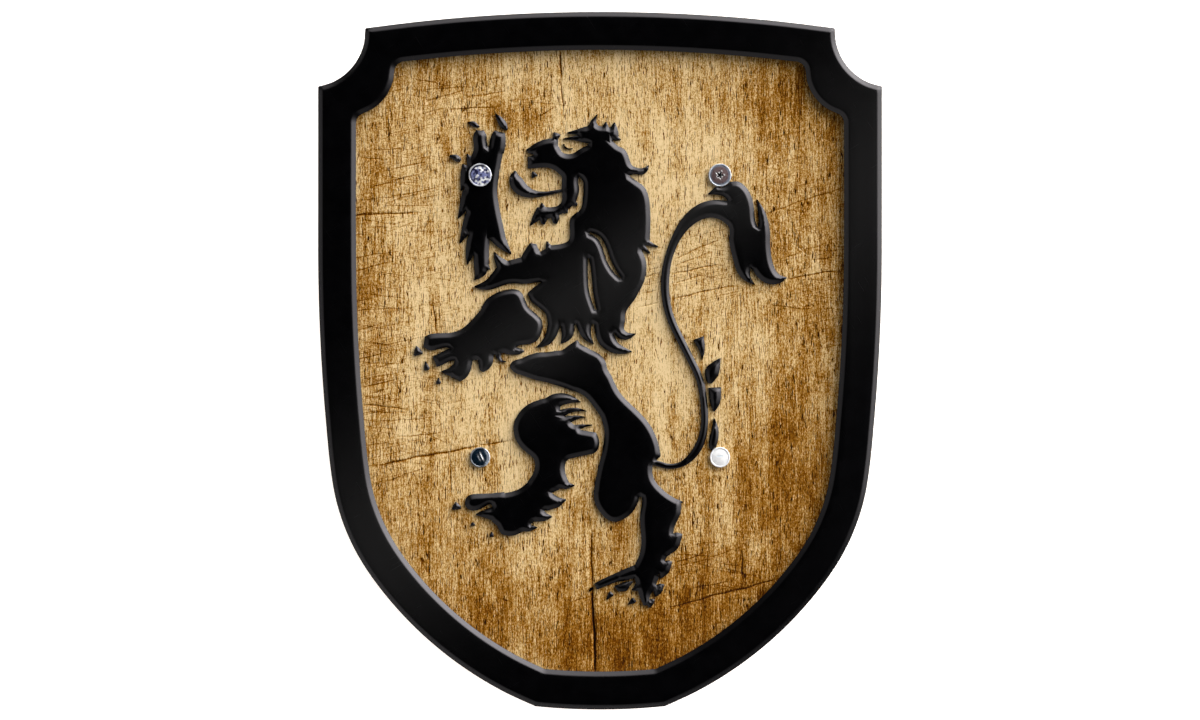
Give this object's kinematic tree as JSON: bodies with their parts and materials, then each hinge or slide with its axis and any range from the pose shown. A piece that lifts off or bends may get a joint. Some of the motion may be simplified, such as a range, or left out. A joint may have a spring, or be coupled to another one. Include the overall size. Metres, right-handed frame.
{
  "type": "toy heater shield",
  "caption": "Toy heater shield: pale wooden board with notched top corners, black bevelled frame, black lion rampant in low relief, polished rivets and leather arm straps behind.",
  "frame": {"origin": "middle of the shield's outline, on the ground plane that its straps lie on", "axes": "+Z out of the painted face, +Y towards the top edge, +X to the right as seen from the front"},
  "size_m": [0.282, 0.3488, 0.056],
  "materials": {
    "board_wood": "pale close-grained wood, oiled, with scratches, stains and fine drying cracks",
    "black_lacquer": "satin black lacquer on wood, lightly rubbed along the bevels",
    "polished_steel": "polished, finely scratched",
    "strap_leather": "dark vegetable-tanned leather with burnished edges"
  },
  "bodies": {
    "root": {"board": "board_wood", "frame": "black_lacquer", "lion_head_and_mane": "black_lacquer", "lion_raised_foreleg": "black_lacquer", "lion_striking_forepaw": "black_lacquer", "lion_loins_and_tail": "black_lacquer", "lion_hind_leg": "black_lacquer", "lion_tooth": "black_lacquer", "lion_pupil": "black_lacquer", "lion_standing_toe": "black_lacquer", "lion_tail_bud": "black_lacquer", "lion_raised_claw_1": "black_lacquer", "lion_raised_claw_2": "black_lacquer", "lion_raised_claw_3": "black_lacquer", "lion_striking_claw_1": "black_lacquer", "lion_striking_claw_2": "black_lacquer", "lion_striking_claw_3": "black_lacquer", "lion_hind_claw_1": "black_lacquer", "lion_hind_claw_2": "black_lacquer", "lion_hind_claw_3": "black_lacquer", "lion_standing_claw_1": "black_lacquer", "lion_standing_claw_2": "black_lacquer", "lion_standing_claw_3": "black_lacquer", "lion_tail_leaf_1": "black_lacquer", "lion_tail_leaf_2": "black_lacquer", "lion_tail_leaf_3": "black_lacquer", "rivet_upper_left": "polished_steel", "rivet_upper_right": "polished_steel", "rivet_lower_left": "polished_steel", "rivet_lower_right": "polished_steel", "washer_upper_left": "polished_steel", "washer_upper_right": "polished_steel", "washer_lower_left": "polished_steel", "washer_lower_right": "polished_steel", "strap_left": "strap_leather", "strap_right": "strap_leather"}
  },
  "joints": []
}
